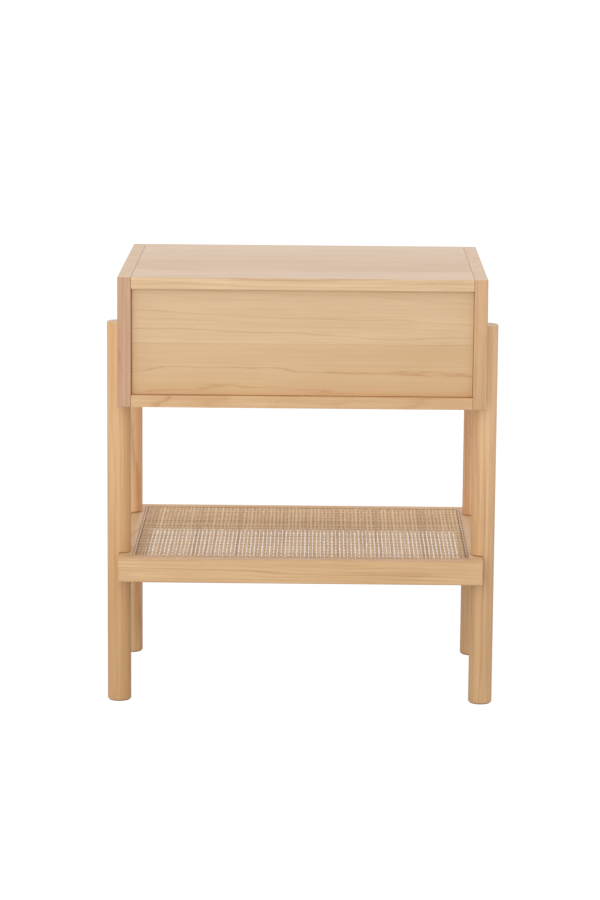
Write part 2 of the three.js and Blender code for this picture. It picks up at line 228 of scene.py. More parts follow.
def soft_panel(name, place, aim, size, watts, colour):
    lamp = bpy.data.objects.new(name, bpy.data.lights.new(name, "AREA"))
    lamp.data.shape, lamp.data.size, lamp.data.energy, lamp.data.color = "DISK", size, watts, colour
    lamp.location = place
    lamp.rotation_mode = "QUATERNION"
    lamp.rotation_quaternion = (Vector(aim) - Vector(place)).to_track_quat("-Z", "Y")
    scene.collection.objects.link(lamp)


soft_panel("front_panel", (-1.15, -3.25, 0.95), (0, 0, 0.35), 2.4, 27, (1.0, 0.97, 0.93))
soft_panel("top_panel", (-0.2, -0.2, 2.6), (0, 0, 0.5), 1.6, 2, (0.97, 0.98, 1.0))
print("surround", SURROUND, "seen white", SEEN_WHITE)

# %% [markdown]
# ## Wood grain that runs through the board
# Grain is a cut through a tree. The rings are cylinders round the tree's heart, so a board that is sawn some
# way off the heart shows long arches on its face, straight lines on its edges and arcs on its ends. A picture
# of grain would need a matching picture for each face. This group works out the rings in space instead: it
# measures how far each point is from a heart line, bends that line with slow noise, and darkens the thin late
# end of each ring, from `Early` on. `Slope` lets the lines run off the board at an angle and `Bow` arches
# them. Finer noise, drawn out along the fibres, gives the streaks and the small dark pores.

# %% Grain group
LATE_PEAK = 0.94
RIPPLE = 0.8
PORE_FROM, PORE_FULL = 0.62, 0.72
BASE_SHADE = 0.3


def ring_distance(tree, given, point):
    """How many rings a point lies from the heart line, with the line bent and the rings rippled."""
    drift = stretched_noise(tree, point, 1.6, 7.0, output="Color")
    drift = vector_calc(tree, "SUBTRACT", drift, (0.5, 0.5, 0.5))
    drift = vector_calc(tree, "MULTIPLY", drift, given["Wander"])
    from_heart = vector_calc(tree, "SUBTRACT", vector_calc(tree, "ADD", point, drift), given["Heart"])
    along = split(tree, from_heart)["X"]
    slant = times(tree, along, given["Slope"])
    rise = calc(tree, "MULTIPLY_ADD", times(tree, along, given["Bow"]), along, slant)
    rise = add(tree, "ShaderNodeCombineXYZ", {"Y": rise}).outputs[0]
    from_heart = vector_calc(tree, "MULTIPLY", vector_calc(tree, "ADD", from_heart, rise), (0.0, 1.0, 1.0))
    radius = add(tree, "ShaderNodeVectorMath", {0: from_heart}, operation="LENGTH").outputs["Value"]
    ripple = times(tree, stretched_noise(tree, point, 9.0, 90.0, 3.0), RIPPLE)
    return calc(tree, "ADD", calc(tree, "DIVIDE", radius, given["Spacing"]), ripple)


def build_grain_group():
    inputs = {"Vector": "Vector", "Pale": "Color", "Deep": "Color", "Heart": "Vector"}
    numbers = "Slope Bow Spacing Rings Early Fibres Clouds Wander".split()
    tree, given, result = new_group(
        "board_grain", {**inputs, **dict.fromkeys(numbers, "Float")},
        {"Color": "Color", "Height": "Float", "Shine": "Float"},
    )
    point = given["Vector"]
    rings = ring_distance(tree, given, point)
    within = calc(tree, "FRACT", rings)
    ring_end = ramp(tree, within, LATE_PEAK, 1.0, 1.0, 0.0)
    late = times(tree, ramp(tree, within, given["Early"], LATE_PEAK), ring_end)
    year = calc(tree, "POWER", chance(tree, calc(tree, "FLOOR", rings)), 1.6)
    late = times(tree, times(tree, late, calc(tree, "MULTIPLY_ADD", year, 0.9, 0.1)), given["Rings"])

    fibre = centred(tree, stretched_noise(tree, point, 16.0, 900.0, 3.0))
    streak = centred(tree, stretched_noise(tree, point, 5.0, 330.0, 3.0))
    cloud = centred(tree, stretched_noise(tree, point, 9.0, 32.0, 3.0))
    pore = ramp(tree, stretched_noise(tree, point, 60.0, 1500.0, 1.0), PORE_FROM, PORE_FULL)

    fine = times(tree, calc(tree, "MULTIPLY_ADD", streak, 1.6, fibre), given["Fibres"])
    depth = calc(tree, "ADD", calc(tree, "ADD", late, fine), times(tree, cloud, given["Clouds"]))
    depth = calc(tree, "MULTIPLY_ADD", pore, times(tree, given["Fibres"], 0.25), depth)
    shade = add(tree, "ShaderNodeClamp", {"Value": calc(tree, "ADD", depth, BASE_SHADE)}).outputs[0]
    wire(tree, blend_colours(tree, shade, given["Pale"], given["Deep"]), result["Color"])
    relief = calc(tree, "MULTIPLY_ADD", late, -0.35, times(tree, fibre, 0.6))
    wire(tree, calc(tree, "MULTIPLY_ADD", pore, -0.5, relief), result["Height"])
    wire(tree, calc(tree, "ADD", fibre, times(tree, late, 0.5)), result["Shine"])
    return tree


GRAIN = build_grain_group()
print("grain group:", len(GRAIN.nodes), "nodes")

# %% [markdown]
# ## Boards glued from staves
# Wide boards are glued up from narrower staves, and each stave comes from another part of the tree. This
# group finds which stave a point is in, moves the grain to another place for that stave, gives it its own
# tone, and marks the hairline of the glue joint.

# %% Stave group
STAVE_JUMP = (7.0, 0.05, 0.03)
JOINT_DARK, JOINT_WIDE = 0.05 * MM, 0.4 * MM


def build_stave_group():
    tree, given, result = new_group(
        "glued_staves",
        {"Vector": "Vector", "Width": "Float", "Shift": "Float", "Seed": "Float"},
        {"Vector": "Vector", "Tone": "Float", "Joint": "Float"},
    )
    across = split(tree, given["Vector"])["Y"]
    place = calc(tree, "DIVIDE", calc(tree, "ADD", across, given["Shift"]), given["Width"])
    number = calc(tree, "ADD", calc(tree, "FLOOR", place), given["Seed"])
    jump = vector_calc(tree, "MULTIPLY", chance(tree, number, "Color"), STAVE_JUMP)
    wire(tree, vector_calc(tree, "ADD", given["Vector"], jump), result["Vector"])
    wire(tree, centred(tree, chance(tree, number)), result["Tone"])
    off_joint = calc(tree, "ABSOLUTE", calc(tree, "SUBTRACT", place, calc(tree, "ROUND", place)))
    off_joint = times(tree, off_joint, given["Width"])
    wire(tree, ramp(tree, off_joint, JOINT_DARK, JOINT_WIDE, 1.0, 0.0), result["Joint"])
    return tree


STAVES = build_stave_group()

# %% [markdown]
# ## Wear along the edges
# Sanded edges take up more lacquer and are touched more, so they are a little warmer and smoother than the
# faces. The pieces carry an attribute named `eased` on their edge faces, and this group turns it into a
# patchy mask, with a few small dents of its own.

# %% Edge group
WORN_EDGE = tint(178, 128, 84)


def build_edge_group():
    tree, given, result = new_group(
        "eased_edges",
        {"Color": "Color", "Vector": "Vector", "Warmth": "Float"},
        {"Color": "Color", "Mask": "Float", "Height": "Float"},
    )
    eased = add(tree, "ShaderNodeAttribute", attribute_name="eased").outputs["Fac"]
    patch = noise(tree, given["Vector"], 55.0, 3.0)
    mask = times(tree, eased, ramp(tree, patch, 0.3, 0.7, 0.35, 1.0))
    warm = blend_colours(tree, times(tree, mask, given["Warmth"]), given["Color"], WORN_EDGE)
    wire(tree, warm, result["Color"])
    wire(tree, mask, result["Mask"])
    dent = noise(tree, given["Vector"], 260.0, 2.0)
    wire(tree, times(tree, ramp(tree, dent, 0.6, 0.75), -0.6), result["Height"])
    return tree


EDGES = build_edge_group()

# %% [markdown]
# ## One function for every wooden finish
# All the wood is the same pale timber under a thin matt lacquer. Each piece differs in where it was cut:
# which way its fibres run, where the heart of the tree lay, how wide its staves are and how yellow or pink it
# is. The finish is built from the piece's own box, so the pattern stays fixed to the piece when it moves. Top
# faces can get a greyer, pinker tone as painted sheen, standing for the white room seen in them at a flat
# angle, and front edges can get tones of their own. A long piece can be painted darker and deeper in colour
# towards one end, as painted shade.

# %% Where a finish sits, and what it ends in
AXES = {"X": Vector((1, 0, 0)), "Y": Vector((0, 1, 0)), "Z": Vector((0, 0, 1))}
LACQUER_GLOSS = 0.45


def grain_space(tree, centre, along, across):
    """Object coordinates turned so that X runs along the fibres and Y across the face."""
    along, across = AXES[along], AXES[across]
    turned = Matrix((along, across, along.cross(across)))
    return add(tree, "ShaderNodeMapping", {
        "Vector": object_place(tree), "Location": -(turned @ Vector(centre)), "Rotation": turned.to_euler(),
    }).outputs["Vector"]


def grain(tree, point, pale, deep, heart=(0.0, 0.02, -0.05), slope=0.0, bow=0.0, spacing=0.006, rings=0.5,
          early=0.5, fibres=0.5, clouds=0.4, wander=0.02):
    return use_group(tree, GRAIN, {
        "Vector": point, "Pale": pale, "Deep": deep, "Heart": heart, "Slope": slope, "Bow": bow,
        "Spacing": spacing, "Rings": rings, "Early": early, "Fibres": fibres, "Clouds": clouds,
        "Wander": wander,
    })


def cover(finish, colour, roughness, height, distance, strength):
    """Puts a colour, a gloss and a relief on the finish's own shader."""
    tree = finish.node_tree
    shader = tree.nodes["Principled BSDF"]
    wire(tree, colour, shader.inputs["Base Color"])
    wire(tree, roughness, shader.inputs["Roughness"])
    bump = add(tree, "ShaderNodeBump", {"Height": height, "Distance": distance, "Strength": strength})
    wire(tree, bump.outputs["Normal"], shader.inputs["Normal"])
    return finish


def repaint(finish, factor, colour):
    """Blends a colour over the one that the finish already has."""
    tree = finish.node_tree
    base = tree.nodes["Principled BSDF"].inputs["Base Color"]
    wire(tree, blend_colours(tree, factor, base.links[0].from_socket, colour), base)


def lacquer(finish, point, colour, height, shine, warmth=0.3, roughness=LACQUER_GLOSS):
    """The edge wear, gloss and relief that every wooden finish ends with."""
    tree = finish.node_tree
    edges = use_group(tree, EDGES, {"Color": colour, "Vector": point, "Warmth": warmth})
    gloss = calc(tree, "MULTIPLY_ADD", shine, 0.14, roughness)
    gloss = calc(tree, "MULTIPLY_ADD", edges["Mask"], -0.06, gloss)
    height = calc(tree, "ADD", height, times(tree, edges["Height"], edges["Mask"]))
    return cover(finish, edges["Color"], gloss, height, 0.1 * MM, 0.45)


def facing(tree, axis):
    """How far a face looks along an axis: 1 straight along it, 0 sideways, -1 straight against it."""
    return split(tree, add(tree, "ShaderNodeNewGeometry").outputs["Normal"])[axis]


print("grain can run along", ", ".join(AXES))

# %% Wood finish
# How much deeper in colour a piece gets where painted shade darkens it.
PAINTED_SHADE_DEPTH = 1.045
GLUE = tint(150, 108, 70)


def wood(name, centre, along, across, pale, deep, tops=None, fronts=None, painted_shade=None, stave=1.0, shift=0.5,
         seed=0.0, contrast=0.0, roughness=LACQUER_GLOSS, **cut_from):
    finish, tree = new_finish(name)
    point = grain_space(tree, centre, along, across)
    staves = use_group(tree, STAVES, {"Vector": point, "Width": stave, "Shift": shift, "Seed": seed})
    tones = [tint(*pale), tint(*deep)]
    # Painted sheen: faces that look up get greyer, pinker tones of their own; faces that look to the front
    # get tones of their own.
    for axis, own_tones, start, end in (("Z", tops, 0.5, 0.95), ("Y", fronts, -0.5, -0.95)):
        if own_tones:
            mask = ramp(tree, facing(tree, axis), start, end)
            tones = [blend_colours(tree, mask, tone, tint(*own)) for tone, own in zip(tones, own_tones)]
    timber = grain(tree, staves["Vector"], *tones, **cut_from)
    value = calc(tree, "MULTIPLY_ADD", staves["Tone"], contrast * 0.6, 1.0)
    depth = calc(tree, "MULTIPLY_ADD", staves["Tone"], -contrast, 1.0)
    # Painted shade: the piece gets darker and deeper in colour towards one end.
    if painted_shade:
        low, high, value_low, value_high = painted_shade
        place = split(tree, point)["X"]
        value = times(tree, value, ramp(tree, place, low, high, value_low, value_high))
        depth = times(tree, depth, ramp(tree, place, low, high, PAINTED_SHADE_DEPTH, 1.0))
    colour = add(tree, "ShaderNodeHueSaturation", {
        "Color": timber["Color"], "Value": value, "Saturation": depth,
    }).outputs["Color"]
    colour = blend_colours(tree, times(tree, staves["Joint"], 0.3), colour, GLUE)
    height = calc(tree, "MULTIPLY_ADD", staves["Joint"], -0.8, timber["Height"])
    return lacquer(finish, point, colour, height, timber["Shine"], roughness=roughness)


def middle(node):
    low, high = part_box(node)
    return (low + high) / 2


print("wood finishes are cut from", STAVES.name, "and", GRAIN.name)

# %% [markdown]
# ## From frame to finished piece
# The frame's boards have razor-sharp edges, which no sanded board has. A sharp edge also catches no light, so
# it makes a model look like a drawing. Each board is copied, its triangles are joined into whole faces, and
# only its outer edges are rounded: the grooves and holes inside keep their fit. The rounding faces are marked
# with the `eased` attribute for the finish.

# %% Copies with eased edges
JOIN_DISTANCE = 2e-6
SAME_PLANE = 2e-5
FLAT_ANGLE = 0.5


def joined_copy(node):
    """The node's mesh with its loose triangles joined and its flat faces made whole."""
    shape = bmesh.new()
    shape.from_mesh(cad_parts[node].data)
    bmesh.ops.remove_doubles(shape, verts=shape.verts, dist=JOIN_DISTANCE)
    flat = math.radians(FLAT_ANGLE)
    bmesh.ops.dissolve_limit(shape, angle_limit=flat, verts=shape.verts, edges=shape.edges)
    return shape


def outer_edges(shape, low, high):
    """The edges that lie on an edge of the piece's own box."""
    planes = [(axis, value) for axis in range(3) for value in (low[axis], high[axis])]

    def shared(edge):
        return sum(all(abs(v.co[axis] - value) < SAME_PLANE for v in edge.verts) for axis, value in planes)

    return [edge for edge in shape.edges if shared(edge) >= 2]


def ease(shape, edges, radius, segments=4):
    """Rounds the edges and marks the new faces."""
    mark = shape.faces.layers.float.get("eased") or shape.faces.layers.float.new("eased")
    shaping = {"offset": radius, "segments": segments, "profile": 0.5, "affect": "EDGES"}
    for face in bmesh.ops.bevel(shape, geom=edges, **shaping)["faces"]:
        face[mark] = 1.0


def finished(name, shape, finish, body, slot, *nodes, sharp=40):
    """Makes the piece, smooths its rounded faces only, and lets it ride and stand for its nodes."""
    mesh = bpy.data.meshes.new(name)
    shape.to_mesh(mesh)
    shape.free()
    mesh.shade_smooth()
    mesh.set_sharp_from_angle(angle=math.radians(sharp))
    mesh.materials.clear()
    mesh.materials.append(finish)
    piece = bpy.data.objects.new(name, mesh)
    scene.collection.objects.link(piece)
    weigh = piece.modifiers.new("flat_faces_stay_flat", "WEIGHTED_NORMAL")
    weigh.keep_sharp = True
    return settle(piece, body, slot, *nodes)


def settle(piece, body, slot, *nodes):
    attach(piece, body)
    if nodes:
        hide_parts(*nodes)
    return piece


def eased_board(node, finish, body, slot, radius, extra=None):
    """The node's own shape with its outer edges rounded, and any extra shaping before that."""
    low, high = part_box(node)
    shape = joined_copy(node)
    if extra:
        extra(shape, low, high)
    ease(shape, outer_edges(shape, low, high), radius)
    return finished(node + "_board", shape, finish, body, slot, node)


def wooden(node, along, across, pale, deep, body, slot, radius, extra=None, **cut):
    """An eased board in a wood of its own."""
    own_wood = wood(node + "_wood", middle(node), along, across, pale, deep, **cut)
    return eased_board(node, own_wood, body, slot, radius, extra)


# %% [markdown]
# ## The case
# Two sides stand outside the top and the bottom board and run past them, so the joints show as fine lines on
# the top and on the front. The sides' fibres stand upright, and their front edges are pinker than the boards
# between them. The top is glued from staves whose tones run from beige to pink. The bottom board's lower left
# corner is rounded over.

# %% Case boards
SIDE_EASE = 0.8 * MM
BOARD_EASE = 0.4 * MM
CORNER_ROUND = 4.5 * MM
# Greyer, pinker tones for the top faces, as painted sheen.
BOARD_TOP_SHEEN = (218, 187, 155), (194, 158, 124)
SIDE_TOP_SHEEN = (230, 198, 163), (166, 126, 88)
SIDE_TONES = (232, 197, 155), (196, 150, 104)
LEFT_FRONT = (238, 196, 163), (158, 102, 72)
RIGHT_FRONT = (248, 207, 158), (180, 126, 78)


def rounded_corner(shape, low, high):
    """Rounds the board's long lower left edge, seen from the front."""
    corner = [edge for edge in shape.edges if all(
        abs(v.co.x - low.x) < SAME_PLANE and abs(v.co.z - low.z) < SAME_PLANE for v in edge.verts)]
    ease(shape, corner, CORNER_ROUND, segments=8)
    print("rounded", len(corner), "edge of the bottom board")


def case_board(node, along, across, tones, radius, extra=None, **cut):
    board = wooden(node, along, across, *tones, "case", "case_wood", radius, extra, **cut)
    print(board.name, len(board.data.polygons), "faces")


case_board("case_top", "X", "Y", ((228, 196, 150), (194, 148, 100)), BOARD_EASE, tops=BOARD_TOP_SHEEN,
           heart=(0.0, 0.01, -0.09), slope=0.02, spacing=0.009, rings=0.4, fibres=0.6, clouds=0.5,
           wander=0.05, stave=0.088, shift=0.176, seed=3.0, contrast=0.14)
case_board("case_bottom", "X", "Y", ((224, 187, 142), (190, 136, 86)), BOARD_EASE, rounded_corner,
           heart=(0.0, 0.03, 0.07), slope=0.24, spacing=0.016, rings=0.5, early=0.7, clouds=0.8,
           wander=0.06, stave=0.09, shift=0.225, seed=11.0, contrast=0.10)
case_board("case_side_left", "Z", "Y", SIDE_TONES, SIDE_EASE, tops=SIDE_TOP_SHEEN, fronts=LEFT_FRONT,
           heart=(0.0, 0.05, 0.06), spacing=0.0045, rings=0.4, stave=0.09, shift=0.18, seed=21.0,
           contrast=0.10)
case_board("case_side_right", "Z", "Y", SIDE_TONES, SIDE_EASE, tops=SIDE_TOP_SHEEN, fronts=RIGHT_FRONT,
           heart=(0.0, 0.02, -0.07), rings=0.4, stave=0.09, shift=0.18, seed=29.0, contrast=0.10)
case_board("case_back", "X", "Z", ((224, 193, 154), (190, 146, 104)), BOARD_EASE,
           heart=(0.0, 0.03, -0.06), spacing=0.009, rings=0.4, wander=0.03, stave=0.072, shift=0.074,
           seed=37.0, contrast=0.08)

# %% [markdown]
# ## The drawer
# The front is one wide board glued from two. The upper one is paler, with fine lines that fall slightly to
# the right. The lower one is yellower and smooth, with long flat arches, and is painted darker and more
# orange near its lower edge, most of all on the right, as painted shade. So the front's finish holds two cuts
# of grain and changes from one to the other at the glue line. The box behind it is plainer, and its floor is
# plywood, whose thin layers show on its edges.

# %% Drawer front
GLUE_LINE = -1.6 * MM
LINE_DARK, LINE_WIDE = 0.1 * MM, 0.5 * MM
# The band near the lower edge where painted shade falls on the drawer front.
LOW_SHADE_BAND = (-69 * MM, -40 * MM)
FRONT_EASE = 0.4 * MM


def two_board_wood(name, centre):
    finish, tree = new_finish(name)
    point = grain_space(tree, centre, "X", "Z")
    upper = grain(tree, point, tint(228, 197, 156), tint(193, 151, 105), heart=(0.0, 0.16, -0.03), slope=0.05,
                  bow=0.08, spacing=0.0095, rings=0.42, early=0.84, fibres=0.26, wander=0.06)
    lower = grain(tree, point, tint(224, 191, 146), tint(190, 139, 90), heart=(-0.05, -0.11, -0.03), bow=0.16,
                  spacing=0.024, early=0.88, fibres=0.2, clouds=0.35, wander=0.04)
    place = split(tree, point)
    # Painted shade: darker and more orange towards the lower edge, most of all on the right.
    painted_low_shade = ramp(tree, place["Y"], *LOW_SHADE_BAND, 0.5, 0.0)
    painted_low_shade = times(tree, painted_low_shade, ramp(tree, place["X"], 0.0, 0.2, 1.0, 1.35))
    lower_colour = blend_colours(tree, painted_low_shade, lower["Color"], tint(207, 163, 112))
    is_upper = ramp(tree, place["Y"], GLUE_LINE - 0.2 * MM, GLUE_LINE + 0.2 * MM)
    colour = blend_colours(tree, is_upper, lower_colour, upper["Color"])
    off_line = calc(tree, "ABSOLUTE", calc(tree, "SUBTRACT", place["Y"], GLUE_LINE))
    line = ramp(tree, off_line, LINE_DARK, LINE_WIDE, 0.22, 0.0)
    colour = blend_colours(tree, line, colour, tint(160, 118, 80))
    relief, shine = (
        add(tree, "ShaderNodeMix", {0: is_upper, 2: lower[output], 3: upper[output]}).outputs[0]
        for output in ("Height", "Shine")
    )
    return lacquer(finish, point, colour, calc(tree, "SUBTRACT", relief, line), shine, warmth=0.2)


front_wood = two_board_wood("drawer_front_wood", middle("drawer_front"))
eased_board("drawer_front", front_wood, "drawer", "drawer_front_wood", FRONT_EASE)

# %% Drawer box
BOX_TONES = (225, 199, 163), (190, 152, 110)
BOX_EASE = 1.0 * MM
for number, node in enumerate(("drawer_side_left", "drawer_side_right", "drawer_back")):
    along = "X" if node == "drawer_back" else "Y"
    wooden(node, along, "Z", *BOX_TONES, "drawer", "drawer_box_wood", BOX_EASE,
           heart=(0.0, 0.03 * number - 0.02, 0.05), spacing=0.007, rings=0.35, seed=40.0 + number,
           roughness=0.55)


# %% Plywood
LAYER_PAIR = 2 * MM
PLY_EASE = 0.3 * MM


def plywood(name, centre):
    """Thin layers across the board's thickness, every second one end-on and darker."""
    finish = wood(name, centre, "X", "Y", (228, 202, 162), (196, 160, 116), heart=(0.0, 0.0, -0.30),
                  spacing=0.02, rings=0.3, clouds=0.7, wander=0.08, roughness=0.58)
    tree = finish.node_tree
    layer = calc(tree, "FRACT", calc(tree, "DIVIDE", split(tree, object_place(tree))["Z"], LAYER_PAIR))
    edge_on = ramp(tree, calc(tree, "ABSOLUTE", facing(tree, "Z")), 0.4, 0.6, 0.7, 0.0)
    repaint(finish, times(tree, calc(tree, "GREATER_THAN", layer, 0.5), edge_on), tint(172, 128, 84))
    return finish


drawer_ply = plywood("drawer_plywood", middle("drawer_bottom"))
eased_board("drawer_bottom", drawer_ply, "drawer", "plywood", PLY_EASE)

# %% [markdown]
# ## The legs
# Each leg is a round bar with its fibres upright. Against the case it is cut flat, so that half of it stands
# proud of the side, and its top ends below the top of the case. The round faces are smoothed and the flat
# cuts stay crisp. The wood is painted darker and deeper towards the floor, as painted shade, and the top ends
# get a greyer tone as painted sheen. The back legs are painted paler than the front ones, as painted light.

# %% Legs
# Each leg's pale tone; the back legs' paler tones are painted light, standing in for light that the case
# keeps from them.
LEG_PALE_AND_PAINTED_LIGHT = {"front_left": (224, 182, 134), "front_right": (230, 191, 147),
            "back_left": (250, 207, 160), "back_right": (236, 198, 154)}
LEG_DEEP = (188, 138, 90)
# A greyer tone for the leg tops, as painted sheen.
LEG_TOP_SHEEN = (214, 190, 162), (178, 148, 116)
# Painted shade: the legs get darker and deeper towards the floor.
LEG_PAINTED_SHADE = (-0.22, 0.22, 0.915, 1.135)

for number, (place, pale) in enumerate(LEG_PALE_AND_PAINTED_LIGHT.items()):
    node = "leg_" + place
    round_wood = wood(
        node + "_wood", middle(node), "Z", "X", pale, LEG_DEEP, tops=LEG_TOP_SHEEN, painted_shade=LEG_PAINTED_SHADE,
        heart=(0.0, 0.03, 0.045 - 0.02 * number), spacing=0.0045, rings=0.35, seed=60.0 + number,
    )
    finished(node + "_bar", joined_copy(node), round_wood, "case", "leg_wood", node, sharp=30)
print("legs:", len(LEG_PALE_AND_PAINTED_LIGHT))

# %% [markdown]
# ## The shelf frame
# Four rails hold the cane. The front and back rails run right across, past the legs, and the side rails fit
# between them. Their outer edges are eased more than those of the case.

# %% Shelf rails
SHELF_EASE = 1.6 * MM
RAIL_TONES = (228, 190, 143), (188, 140, 91)
# Paler tones for the rails' top faces, as painted sheen.
SHELF_TOP_SHEEN = (232, 195, 148), (196, 152, 104)
RAILS = {"front": "X", "back": "X", "left": "Y", "right": "Y"}
for number, (place, along) in enumerate(RAILS.items()):
    wooden("shelf_rail_" + place, along, "Z", *RAIL_TONES, "case", "shelf_wood", SHELF_EASE, tops=SHELF_TOP_SHEEN,
           heart=(0.0, -0.04, 0.03), slope=0.012, spacing=0.005, rings=0.7, early=0.6, fibres=0.6, clouds=0.5,
           wander=0.06, seed=70.0 + number)

# %% [markdown]
# ## Woven cane
# The shelf panel is cane webbing in plain weave: strands run front to back and side to side, and each goes
# over one and under the next. Light falls through the small holes, so the weave is made of real strands and
# not drawn on a sheet. A Geometry Nodes tree makes one set of strands: it lays straight lines side by side,
# lifts and lowers each line at its crossings, turns neighbours the opposite way, and sweeps a flat section
# along them. Real webbing isn't even. So strands wander and differ in width, they are wider within `Margin`
# of the set's sides, every fourth can be wider by `Fourths`, and some pairs by `Bands`. The same tree makes
# both sets, with other numbers.

# %% Tree for one set of strands
THINNEST, WIDEST = 0.78, 1.22
MARGIN_EXTRA = 0.55
BAND_SHARE = 0.25


def new_shape_tree(name, inputs):
    """A Geometry Nodes tree with named inputs, its input sockets, and its output socket."""
    tree = bpy.data.node_groups.new(name, "GeometryNodeTree")
    tree.interface.new_socket("Geometry", in_out="INPUT", socket_type="NodeSocketGeometry")
    for label, kind in inputs.items():
        tree.interface.new_socket(label, in_out="INPUT", socket_type="NodeSocket" + kind)
    tree.interface.new_socket("Geometry", in_out="OUTPUT", socket_type="NodeSocketGeometry")
    return tree, tree.nodes.new("NodeGroupInput").outputs, tree.nodes.new("NodeGroupOutput").inputs[0]


def shape_node(tree, kind, inputs=(), **settings):
    """The first output of one Geometry Nodes node."""
    return add(tree, "GeometryNode" + kind, inputs, **settings).outputs[0]


def xyz(tree, x=0.0, y=0.0, z=0.0):
    return add(tree, "ShaderNodeCombineXYZ", {"X": x, "Y": y, "Z": z}).outputs[0]


def pick(tree, low, high, number, seed):
    """A random value between low and high for each number."""
    inputs = {"Min": low, "Max": high, "ID": number, "Seed": seed}
    return add(tree, "FunctionNodeRandomValue", inputs, data_type="FLOAT").outputs[1]


def every_fourth(tree, number):
    return calc(tree, "LESS_THAN", calc(tree, "MODULO", number, 4.0), 0.5)


def end_tree(tree, geometry, material, result):
    """Every tree ends the same way: real mesh instead of instances, and the material set."""
    real = shape_node(tree, "RealizeInstances", {"Geometry": geometry})
    wire(tree, shape_node(tree, "SetMaterial", {"Geometry": real, "Material": material}), result)


def strand_shift(tree, given, number, place):
    """Up and down at the crossings, and a little to the sides."""
    swing = times(tree, calc(tree, "DIVIDE", place["Y"], given["Crossing"]), math.pi)
    swing = calc(tree, "ADD", swing, times(tree, calc(tree, "ADD", number, given["Phase"]), math.pi))
    lift = times(tree, calc(tree, "COSINE", swing), given["Rise"])
    slow = xyz(tree, times(tree, number, 3.7), times(tree, place["Y"], 18.0), given["Seed"])
    sway = times(tree, centred(tree, noise(tree, slow, 1.0, 1.0)), given["Wobble"])
    aside = pick(tree, -1.0, 1.0, number, calc(tree, "ADD", given["Seed"], 1.0))
    return xyz(tree, x=calc(tree, "MULTIPLY_ADD", aside, given["Uneven"], sway), z=lift)


def strand_width(tree, given, number, from_side):
    """How wide a strand is, as a share of the set's own width."""
    wide = pick(tree, THINNEST, WIDEST, number, given["Seed"])
    wide = calc(tree, "ADD", wide, ramp(tree, from_side, 0.0, given["Margin"], MARGIN_EXTRA, 0.0))
    wide = calc(tree, "MULTIPLY_ADD", every_fourth(tree, number), given["Fourths"], wide)
    pair = calc(tree, "FLOOR", times(tree, number, 0.5))
    luck = pick(tree, 0.0, 1.0, pair, calc(tree, "ADD", given["Seed"], 2.0))
    return calc(tree, "MULTIPLY_ADD", calc(tree, "LESS_THAN", luck, BAND_SHARE), given["Bands"], wide)


def build_strand_tree():
    numbers = ("Pitch Length Crossing Phase Rise Width Thickness Wobble Height Turn Margin Fourths Bands "
               "Uneven").split()
    tree, given, result = new_shape_tree("strand_set", {
        **dict.fromkeys(("Count", "Crossings", "Seed"), "Int"), **dict.fromkeys(numbers, "Float"),
        "Material": "Material",
    })
    half = times(tree, given["Length"], 0.5)
    ends = {"Start": xyz(tree, y=times(tree, half, -1.0)), "End": xyz(tree, y=half)}
    steps = calc(tree, "MULTIPLY_ADD", given["Crossings"], 2.0, 1.0)
    line = shape_node(tree, "CurvePrimitiveLine", ends)
    line = shape_node(tree, "ResampleCurve", {"Curve": line, "Count": steps})

    last = times(tree, calc(tree, "SUBTRACT", given["Count"], 1.0), times(tree, given["Pitch"], 0.5))
    row = shape_node(tree, "MeshLine", {
        "Count": given["Count"], "Start Location": xyz(tree, x=times(tree, last, -1.0)),
        "Offset": xyz(tree, x=given["Pitch"]),
    })
    strands = shape_node(tree, "InstanceOnPoints", {"Points": row, "Instance": line})
    numbered = {"Geometry": strands, "Name": "strand", "Value": shape_node(tree, "InputIndex")}
    strands = shape_node(tree, "StoreNamedAttribute", numbered, data_type="INT", domain="INSTANCE")
    strands = shape_node(tree, "RealizeInstances", {"Geometry": strands})
    number = shape_node(tree, "InputNamedAttribute", {"Name": "strand"}, data_type="INT")

    place = split(tree, shape_node(tree, "InputPosition"))
    shift = strand_shift(tree, given, number, place)
    strands = shape_node(tree, "SetPosition", {"Geometry": strands, "Offset": shift})
    from_side = calc(tree, "SUBTRACT", last, calc(tree, "ABSOLUTE", place["X"]))
    width = strand_width(tree, given, number, from_side)
    strands = shape_node(tree, "SetCurveRadius", {"Curve": strands, "Radius": width})
    strands = shape_node(tree, "SetCurveNormal", {"Curve": strands}, mode="Z_UP")
    section = shape_node(tree, "CurvePrimitiveCircle", {"Resolution": 6, "Radius": 0.5})
    flat = xyz(tree, given["Width"], given["Thickness"], 1.0)
    section = shape_node(tree, "Transform", {"Geometry": section, "Scale": flat})
    woven = shape_node(tree, "CurveToMesh", {"Curve": strands, "Profile Curve": section, "Fill Caps": True})
    woven = shape_node(tree, "SetShadeSmooth", {"Geometry": woven})
    level, turn = xyz(tree, z=given["Height"]), xyz(tree, z=given["Turn"])
    woven = shape_node(tree, "Transform", {"Geometry": woven, "Translation": level, "Rotation": turn})
    end_tree(tree, woven, given["Material"], result)
    return tree


STRANDS = build_strand_tree()
print("strand tree:", len(STRANDS.nodes), "nodes")

# %% [markdown]
# Cane is the shiny skin of rattan. It is smooth along its fibres, with fine streaks, and pale and dark
# patches where the stem had its joints. Each strand has a tone of its own, from the attribute `strand` that
# the tree stored. `Variety` says how much the strands differ, `Bundle` how many neighbours are dark together,
# and `Fourths` how much darker every fourth is. The cane is painted a little paler towards the back of the
# shelf, where the case above shades it, as painted light.

# %% Cane finish
# Where the cane is painted paler towards the back, as painted light.
CANE_PAINTED_LIGHT = (-0.05, 0.12, 1.0, 1.18)
JOINT_FROM, JOINT_FULL = 0.66, 0.76
ODD_FROM = 0.88


